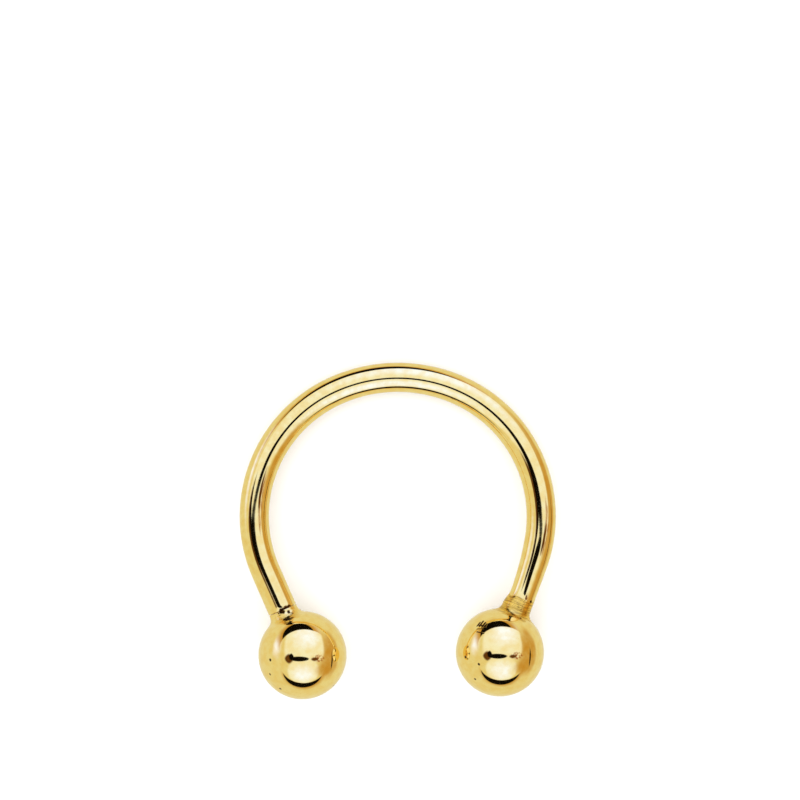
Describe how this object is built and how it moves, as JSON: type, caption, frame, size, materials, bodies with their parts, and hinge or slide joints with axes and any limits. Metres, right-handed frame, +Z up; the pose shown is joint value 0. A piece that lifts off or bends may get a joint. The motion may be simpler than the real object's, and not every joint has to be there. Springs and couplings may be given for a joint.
{
  "type": "horseshoe barbell for a nipple piercing",
  "caption": "Gold horseshoe barbell: round wire bent to an open ring, with a ball soldered on at one end and a ball that screws off at the other.",
  "frame": {"origin": "middle of the resting ring's outline, on the floor", "axes": "+Z up from the floor, +Y from the balls towards the crest of the wire, +X from the screw ball towards the fixed ball"},
  "size_m": [0.0172, 0.0182, 0.0048],
  "materials": {
    "polished_gold": "mirror-polished yellow gold"
  },
  "bodies": {
    "ring": {"ring_bar": "polished_gold"},
    "screw_ball": {"screw_ball": "polished_gold"}
  },
  "joints": [
    {"name": "ball_off", "type": "slide", "parent": "ring", "child": "screw_ball", "axis": [0.3889, -0.916, 0.0981], "range_m": [0, 0.0035]}
  ]
}
